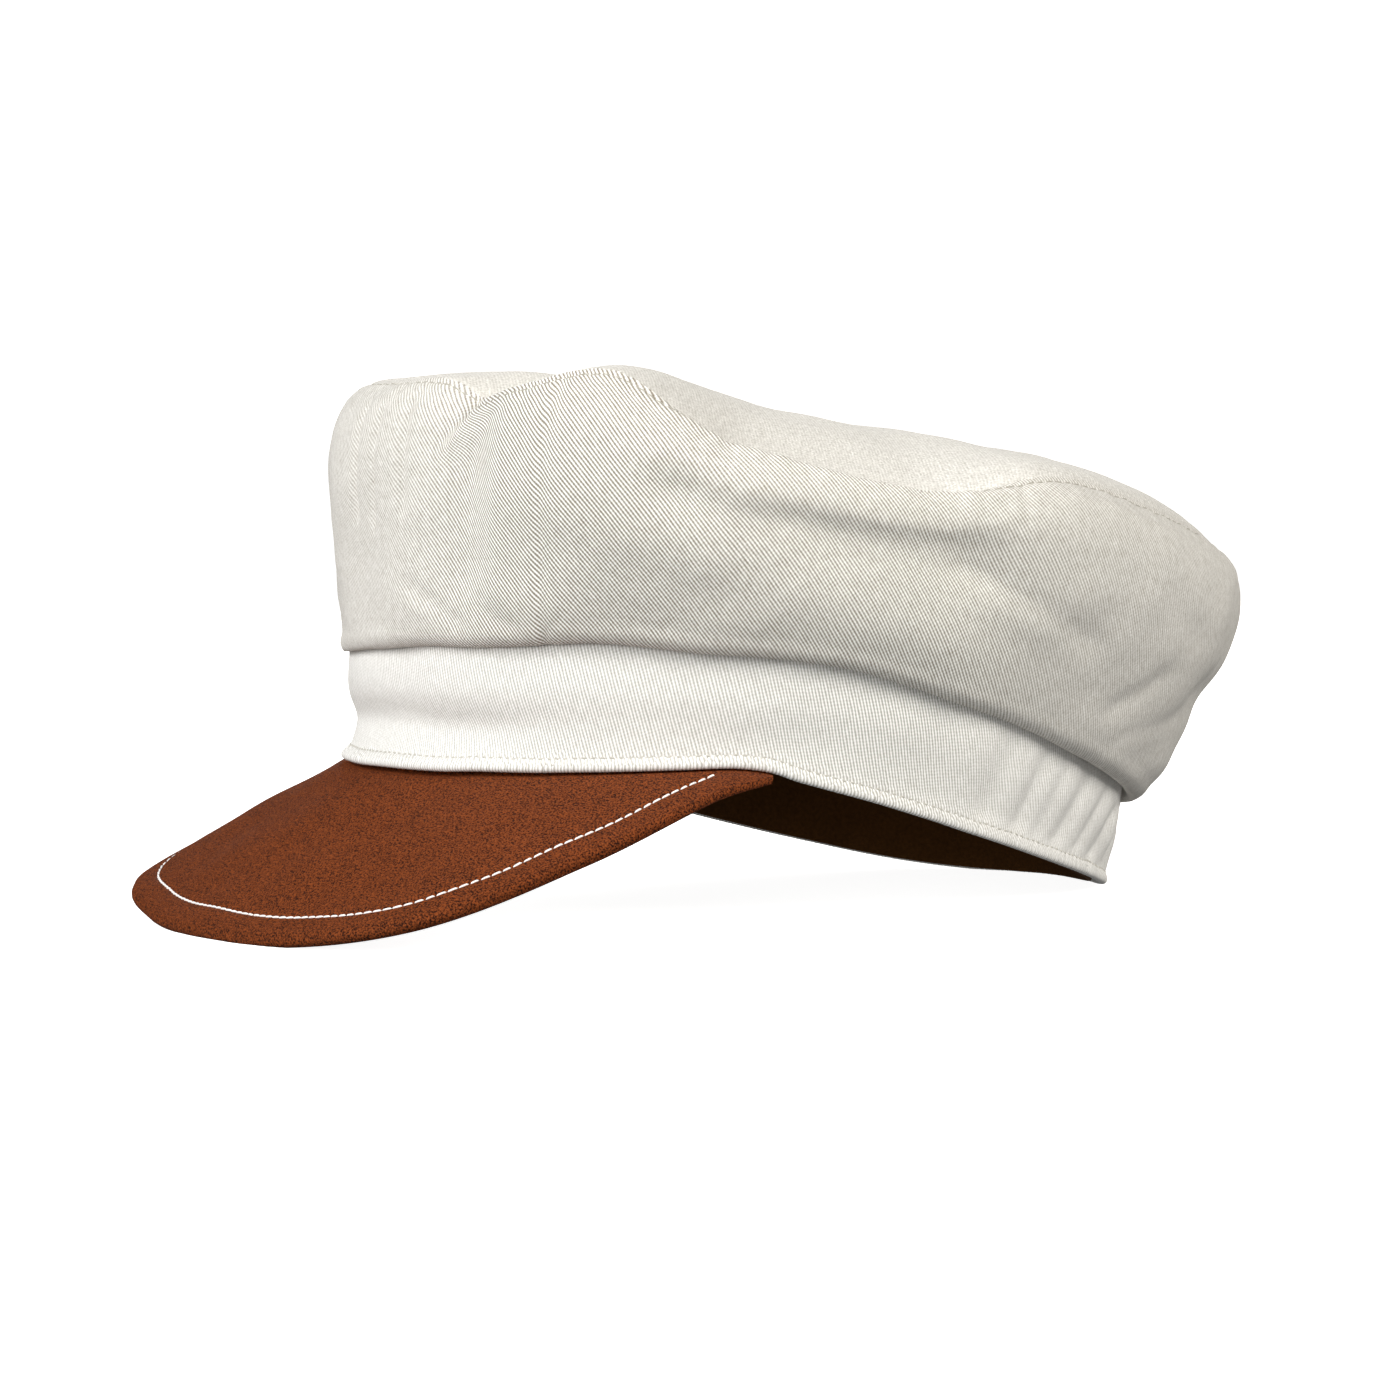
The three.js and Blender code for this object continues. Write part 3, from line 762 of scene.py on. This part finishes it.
# The upright band, a doubled cloth with a rolled and stitched hem, gathered at the back
band = {
    "cloth": 2.2,
    "rows": [(0, 0), (0.16, -0.8), (0.55, 1.3), (1, 1.6)],  # share of the height, out
    "hollow": 0.9,
    "topAboveFold": 4,
    "gatherStart": 110,
    "gatherFull": 165,
    "gatherPitch": 8,
    "gatherDepth": 0.6,
    "gatherWander": (0.8, 3),  # how much, times round
    "gatherChange": (20, 0.35, 11),  # degrees apart, share, seed
    "gatherShare": 0.8,
    "gatherEnds": (1.1, 0.6),  # share at the hem, share at the top
    "gatherRoundness": 0.5,
    "creases": [  # angle at the hem and at the top, width in degrees, depth
        (92, 94, 3.0, 0.4), (101.5, 106, 2.6, 1.1), (108.7, 114, 1.9, 1.2), (113, 120, 1.6, 0.6),
        (118, 128, 2.2, 1.2), (124, 137, 1.8, 0.8), (131, 146, 2.4, 1.3), (141, 156, 3.0, 0.8),
    ],
    "creaseStart": (2, 7),  # heights
    "creaseEnd": (0.5, 1),  # shares of the height
    "frontWaist": 3.0,  # the front is drawn in above its hem
    "frontWaistUp": 11,
    "frontWaistWidth": 5,
    "frontFlare": 2.0,
    "frontFlareUp": 2.5,
    "frontFade": (12, 45),  # degrees to either side
    "waverFade": (3, 14),  # the hem's wavering dies out between these heights
    "hemRoll": 3.0,  # height of the stitched hem
    "hemPuff": 0.2,
    "hemPuffRoundness": 0.8,
    "hemPuckers": (1.415, 0.09, 13),  # degrees apart, depth, seed
    "hemPuckerUp": 2.2,
    "hemPuckerWidth": 2.6,
    "stitchUp": 3.1,
    "grooveDepth": 0.3,
    "grooveWidth": 0.55,
    "softDents": (26, 0.3, 12),  # size, depth, seed
    "dentsByHem": (3, 10),
    "waleStrength": [(0, 0.5), (20, 0.6), (35, 0.7), (60, 0.7), (88, 0.85), (108, 0.5), (150, 0.4),
                     (240, 0.6), (300, 0.6)],
    "frontColumns": 600,
    "backColumns": 460,
    "closeRowsTo": 6,  # height of the hem's part, which has closer rows
    "closeRows": 20,
    "upperRows": 34,
    "stitches": {
        "pitch": 2.4, "length": 1.5, "thickness": 0.5, "lift": 0.14, "dip": 0.3, "slant": 8,
        "unevenSlant": 3, "seed": 14},
}
bandRound = columnAngles(band)


def gatherStrength(angle):
    fromBack = np.abs(np.mod(angle, 360) - 180)
    return band["gatherDepth"] * smoothStep(band["gatherStart"], band["gatherFull"], 180 - fromBack)


def bandCloth():
    total = smoothRows(crown["rows"], bandRound, 360)[0] + band["topAboveFold"]
    middle = band["closeRowsTo"]
    lowUp = np.linspace(band["cloth"] / 2, middle, band["closeRows"])[:, None]
    highShare = np.linspace(0, 1, band["upperRows"])[1:, None]
    height = np.concatenate([np.repeat(lowUp, len(bandRound), 1), middle + highShare * (total - middle)])
    share = height / total
    angles = np.repeat(bandRound[None, :], len(height), 0)
    out = smoothRows(band["rows"], share)[0] - band["cloth"] / 2
    wander, timesRound = band["gatherWander"]
    folds = np.cos(fullTurn * angles / band["gatherPitch"] + wander * np.sin(np.radians(timesRound * angles)))
    folds = folds * (1 + ripples(angles, *band["gatherChange"])) * band["gatherShare"]
    folds = gatherStrength(angles) * folds * np.sin(math.pi * share) ** band["gatherRoundness"]
    out = out + folds * mix(*band["gatherEnds"], share)
    for low, high, width, depth in band["creases"]:
        away = fromAngle(angles, mix(low, high, share))
        crease = depth * bump(away, width) * smoothStep(*band["creaseStart"], height)
        out = out - crease * (1 - smoothStep(*band["creaseEnd"], share))
    front = 1 - smoothStep(*band["frontFade"], np.abs(fromAngle(angles)))
    out = out - band["frontWaist"] * front * bump(height - band["frontWaistUp"], band["frontWaistWidth"])
    out = out + band["frontFlare"] * front * bump(height, band["frontFlareUp"])
    waver = hemWaver(angles) * (1 - smoothStep(*band["waverFade"], height))
    points = capPoint(angles, out, hemUp(angles) + height + waver)
    relief = dents(points, *band["softDents"]) * smoothStep(*band["dentsByHem"], height)
    roll = np.clip(height / band["hemRoll"], 0, 1)
    relief = relief + band["hemPuff"] * np.sin(math.pi * roll) ** band["hemPuffRoundness"]
    # the hem's small puckers lean as they rise
    slanted = angles - height / cap["mmPerDegree"]
    puckers = ripples(slanted, *band["hemPuckers"])
    relief = relief + puckers * bump(height - band["hemPuckerUp"], band["hemPuckerWidth"])
    relief = relief - band["grooveDepth"] * bump(height - band["stitchUp"], band["grooveWidth"])
    points = points + gridNormals(points) * relief[..., None]
    addWall("band", bandTwill, band, bandRound, points, bandWeave)
    normals = gridNormals(points)
    outside = points + normals * band["cloth"] / 2
    stitchRow("hem_stitching", shadedHemThread, band["stitches"], outside, normals, height, band["stitchUp"],
              closed=True)


bandCloth()

# The leather strip inside the band, set in further where the peak is tucked in
sweatband = {
    "leather": 1.0,
    "height": 27,
    "aboveHem": 1.0,
    "gap": 0.3,
    "tuckFade": (72, 84),
    "columns": 360,
    "rows": 14,
}
peakTuck = 1.2  # leather of the peak's tucked-in strip


def sweatbandStrip():
    angle = np.linspace(0, 360, sweatband["columns"], endpoint=False)
    angles, shares = np.meshgrid(angle, np.linspace(0, 1, sweatband["rows"]))
    clear = 1 - smoothStep(*sweatband["tuckFade"], np.abs(fromAngle(angles)))
    behind = band["cloth"] + band["hollow"] + gatherStrength(angles) + sweatband["gap"]
    out = -behind - clear * (peakTuck + sweatband["gap"]) - sweatband["leather"] / 2
    hem = hemUp(angles) + hemWaver(angles)
    points = capPoint(angles, out, hem + sweatband["aboveHem"] + shares * sweatband["height"])
    rows, _ = clothRows(points, sweatband["leather"])
    keepAboveSurface(rows)
    faces, _ = gridFaces(*rows.shape[:2], True, True)
    addPiece("sweatband_strip", sweatbandLeather, ["sweatband"], rows, faces.tolist())


sweatbandStrip()

# The peak: a stiffened plate covered in leather, with a rounded edge and a stitched line
peak = {
    "leather": 3.4,
    "cornerLeather": 1.8,
    # turn from the middle, reach, up
    "edge": [(-90, 83, 5.9), (-78, 88.3, -0.4), (-60, 100, -16.5), (-40, 115.6, -35), (-20, 109.2, -42.8),
             (0, 106.4, -44.8), (20, 109, -43.9), (40, 114.6, -36.3), (60, 99, -17.1), (78, 88.3, -0.4),
             (90, 83, 5.9)],
    "centre": -39,
    "dome": 0.6,
    "domeFullReach": 60,
    "middleRise": 0.8,  # a low swelling along the middle
    "middleWidth": 36,
    "middleRoundness": 0.5,
    "middleEnd": (0.5, 0.85),  # shares of the way out
    "halfSpan": 68,  # degrees
    "cornerThinning": 45,
    "shortest": 0.5,
    "gap": 0.3,
    "tuckUp": 8,
    "stitchInset": 8.6,
    "grooveDepth": 0.4,
    "grooveWidth": 0.7,
    "edgePuff": 0.45,
    "edgePuffRoundness": 0.8,
    "softDents": (30, 0.25, 15),  # size, depth, seed
    "dentsByEdge": (2, 12),
    "reliefByHem": (0, 4),
    "columns": 400,
    "topRows": 40,
    "closeRows": 34,
    "underRows": 26,
    "edgeTurns": 12,
    "firstShare": 0.03,  # of the plate's depth, from the hem to the first row
    "edgeZone": 13,  # width of the strip by the edge that has closer rows
    "edgeZoneShare": 0.6,  # of the plate's depth, at most
    "stitches": {
        "pitch": 2.7, "length": 2.6, "thickness": 0.56, "lift": 0.12, "dip": 0.25, "slant": 5,
        "unevenSlant": 2, "seed": 16},
}


def peakBody():
    angle = np.linspace(-peak["halfSpan"], peak["halfSpan"], peak["columns"])
    turn = 90 * angle / peak["halfSpan"]
    reach, edgeUp = smoothRows(peak["edge"], turn)
    edgeX = reach * np.sin(np.radians(turn))
    edgeY = peak["centre"] - reach * np.cos(np.radians(turn))
    edge = np.stack([edgeX, edgeY, edgeUp], -1)
    corner = smoothStep(peak["cornerThinning"], peak["halfSpan"], np.abs(angle))
    thick = mix(peak["leather"], peak["cornerLeather"], corner)
    half = thick / 2
    hem = hemUp(angle) + hemWaver(angle)
    base = capPoint(angle, 0 * angle, hem - peak["gap"])
    way = edge - base
    length = np.linalg.norm(way, axis=1)
    flat = np.maximum(length - half, peak["shortest"])
    level = unit(way * [1, 1, 0])
    slope = np.arcsin(-way[:, 2] / length)
    dome = peak["dome"] * np.minimum(flat / peak["domeFullReach"], 1)

    def onPlate(along, down):
        # a point in every column, so far out from the hem and so far under the top
        out = along * np.cos(slope) - down * np.sin(slope)
        up = -along * np.sin(slope) - down * np.cos(slope)
        points = base + level * out[:, None]
        points[:, 2] += up + dome * np.sin(math.pi * np.minimum(along / flat, 1))
        return points

    zone = np.minimum(peak["edgeZone"], flat * peak["edgeZoneShare"])
    still = 0 * angle
    start = flat * peak["firstShare"]
    run = flat * (1 - peak["firstShare"]) - zone
    top = [onPlate(start + run * share, still) for share in np.linspace(0, 1, peak["topRows"])]
    top += [onPlate(flat - zone * (1 - share), still) for share in np.linspace(0, 1, peak["closeRows"])[1:]]
    top = np.array(top)
    # distance of every point of the top from the edge's line
    tip = onPlate(flat + half, half)
    fromEdge = np.full(top.shape[:2], np.inf)
    for point in tip:
        fromEdge = np.minimum(fromEdge, np.linalg.norm(top - point, axis=-1))
    normals = -gridNormals(top, False)
    normals *= np.sign(normals[..., 2:])
    hemGap = lengthUp(top)
    inset = peak["stitchInset"]
    puff = np.sin(math.pi * np.clip(fromEdge / inset, 0, 1)) ** peak["edgePuffRoundness"]
    relief = peak["edgePuff"] * puff
    relief = relief - peak["grooveDepth"] * bump(fromEdge - inset, peak["grooveWidth"])
    relief = relief + dents(top, *peak["softDents"]) * smoothStep(*peak["dentsByEdge"], fromEdge)
    wayOut = np.clip(hemGap / flat, 0, 1)
    middle = bump(top[..., 0], peak["middleWidth"]) * np.sin(math.pi * wayOut) ** peak["middleRoundness"]
    middle = middle * (1 - smoothStep(*peak["middleEnd"], wayOut))
    relief = relief + peak["middleRise"] * middle
    relief = relief * smoothStep(*peak["reliefByHem"], hemGap)
    top = top + normals * relief[..., None]

    # the whole section, from the tucked-in strip over the top and back underneath
    tuckOuter = -band["cloth"] - band["hollow"] - peak["gap"]
    tuckInner = tuckOuter - peakTuck
    rows = [capPoint(angle, still + tuckInner, hem + peak["tuckUp"]),
            capPoint(angle, still + tuckOuter, hem + peak["tuckUp"]),
            capPoint(angle, still + tuckOuter, hem - peak["gap"]), *top]
    for edgeTurn in np.linspace(0, math.pi, peak["edgeTurns"] + 1)[1:-1]:
        rows.append(onPlate(flat + half * math.sin(edgeTurn), half - half * math.cos(edgeTurn)))
    for share in np.linspace(1, peak["firstShare"], peak["underRows"]):
        rows.append(onPlate(flat * share, thick))
    rows.append(capPoint(angle, still + tuckInner, hem - peak["gap"] - half))
    rows = keepAboveSurface(np.array(rows))
    faces, _ = gridFaces(*rows.shape[:2], True, False)
    firstEnd = [r * len(angle) for r in range(len(rows))]
    lastEnd = [corner + len(angle) - 1 for corner in reversed(firstEnd)]
    addPiece("peak_leather_body", peakLeather, ["peak"], rows,
             faces[:, ::-1].tolist() + [firstEnd, lastEnd])

    # the stitched line runs at its inset wherever the plate is deep enough
    deep = np.where((fromEdge[0] > inset + 1) & (np.abs(angle) < peak["halfSpan"] - 1))[0]
    deep = slice(deep[0], deep[-1] + 1)
    stitchRow("peak_stitching", whiteThread, peak["stitches"], top[::-1, deep], normals[::-1, deep],
              fromEdge[::-1, deep], inset)


peakBody()

# Plain pale floor that curves up into a wall all round, lit by soft studio lights
stage = {
    "floorColour": "f7f6f4",
    "floorGlow": 0.92,  # the paper is lit from below too, so it photographs white
    "flatRadii": (0.5, 1.0, 2.2),
    "wallRadius": 3.2,
    "wallHeight": 2.5,
    "bendRows": 14,
    "columns": 96,
    # place in metres, size in metres, power in watts, colour
    "lights": {
        "high left softbox": ((-0.3, -1.9, 1.5), 1.3, 44.5, "fffffe"),
        "low left softbox": ((0.3, -1.9, 0.5), 1.0, 13, "fffffe"),
        "camera softbox": ((1.5, -1.2, 0.5), 1.0, 11, "fffffe"),
        "right softbox": ((1.75, 0.7, 1.05), 1.3, 40.5, "fffcf6"),
        "far softbox": ((-1.5, 1.2, 0.8), 1.3, 14, "fffffe"),
    },
    "lightAim": (0, 0, 0.06),
    "airAbove": 0.03,
    "airBelow": 0.19,
    "airChange": 0.4,  # the change runs from this far below level to as far above
}


def stageSweep():
    material, _ = newMaterial("pale studio paper", {
        "Base Color": hexColour(stage["floorColour"]), "Roughness": 0.9, "Specular IOR Level": 0.1,
        "Emission Color": (1, 1, 1, 1), "Emission Strength": stage["floorGlow"]})
    turns = np.linspace(0, fullTurn, stage["columns"], endpoint=False)
    profile = [(radius, 0) for radius in stage["flatRadii"]]
    flatEnd = stage["flatRadii"][-1]
    bend = stage["wallRadius"] - flatEnd
    for turn in np.linspace(0, math.pi / 2, stage["bendRows"])[1:]:
        profile.append((flatEnd + bend * math.sin(turn), bend - bend * math.cos(turn)))
    profile.append((stage["wallRadius"], stage["wallHeight"]))
    points = [(0, 0, 0)]
    for radius, up in profile:
        points += [(radius * math.cos(t), radius * math.sin(t), up) for t in turns]
    faces, _ = gridFaces(len(profile), len(turns), False, True, 1)
    faces = faces[:, ::-1].tolist() + [(0, 1 + i, 1 + (i + 1) % len(turns)) for i in range(len(turns))]
    mesh = bpy.data.meshes.new("studio_floor")
    mesh.from_pydata(points, [], faces)
    mesh.shade_smooth()
    mesh.materials.append(material)
    floor = bpy.data.objects.new("studio_floor", mesh)
    bpy.context.scene.collection.objects.link(floor)
    floor.visible_diffuse = False
    floor.visible_glossy = False
    floor.visible_shadow = False


def addLights():
    for name, (place, size, power, colour) in stage["lights"].items():
        light = bpy.data.lights.new(name, "AREA")
        light.shape = "DISK"
        light.size = size
        light.energy = power
        light.color = hexColour(colour)[:3]
        lamp = bpy.data.objects.new(name, light)
        lamp.location = place
        aim = Vector(stage["lightAim"]) - Vector(place)
        lamp.rotation_euler = aim.to_track_quat("-Z", "Y").to_euler()
        bpy.context.scene.collection.objects.link(lamp)
    world = bpy.data.worlds.new("studio air")
    world.use_nodes = True
    # the air's light stands for the paper's, so it comes mostly from below
    way = addNode(world, "ShaderNodeTexCoord")
    upward = addNode(world, "ShaderNodeSeparateXYZ", {0: way.outputs["Generated"]})
    grey = addNode(world, "ShaderNodeMapRange", {
        "Value": upward.outputs["Z"], "From Min": -stage["airChange"], "From Max": stage["airChange"],
        "To Min": stage["airBelow"], "To Max": stage["airAbove"]})
    background = world.node_tree.nodes["Background"]
    world.node_tree.links.new(grey.outputs[0], background.inputs["Color"])
    bpy.context.scene.world = world
    bpy.context.scene.view_settings.view_transform = "Standard"
    bpy.context.scene.view_settings.look = "None"


stageSweep()
addLights()

view = {
    "azimuth": 60.12,  # degrees from the front towards the wearer's left
    "elevation": 3.02,
    "roll": -1.16,
    "target": (-6.3, -1.66, 50.3),
    "distance": 1300,
    "lens": 132.06,
}


def addCamera():
    azimuth, elevation = math.radians(view["azimuth"]), math.radians(view["elevation"])
    back = Vector((math.sin(azimuth) * math.cos(elevation), -math.cos(azimuth) * math.cos(elevation),
                   math.sin(elevation)))
    data = bpy.data.cameras.new("photo camera")
    data.lens = view["lens"]
    camera = bpy.data.objects.new("photo camera", data)
    place = (Vector(view["target"]) + back * view["distance"]) * millimetre
    turn = (-back).to_track_quat("-Z", "Y").to_matrix().to_4x4()
    roll = Matrix.Rotation(math.radians(view["roll"]), 4, "Z")
    camera.matrix_world = Matrix.Translation(place) @ turn @ roll
    bpy.context.scene.collection.objects.link(camera)
    bpy.context.scene.camera = camera


addCamera()
print("stage, lights and camera placed")
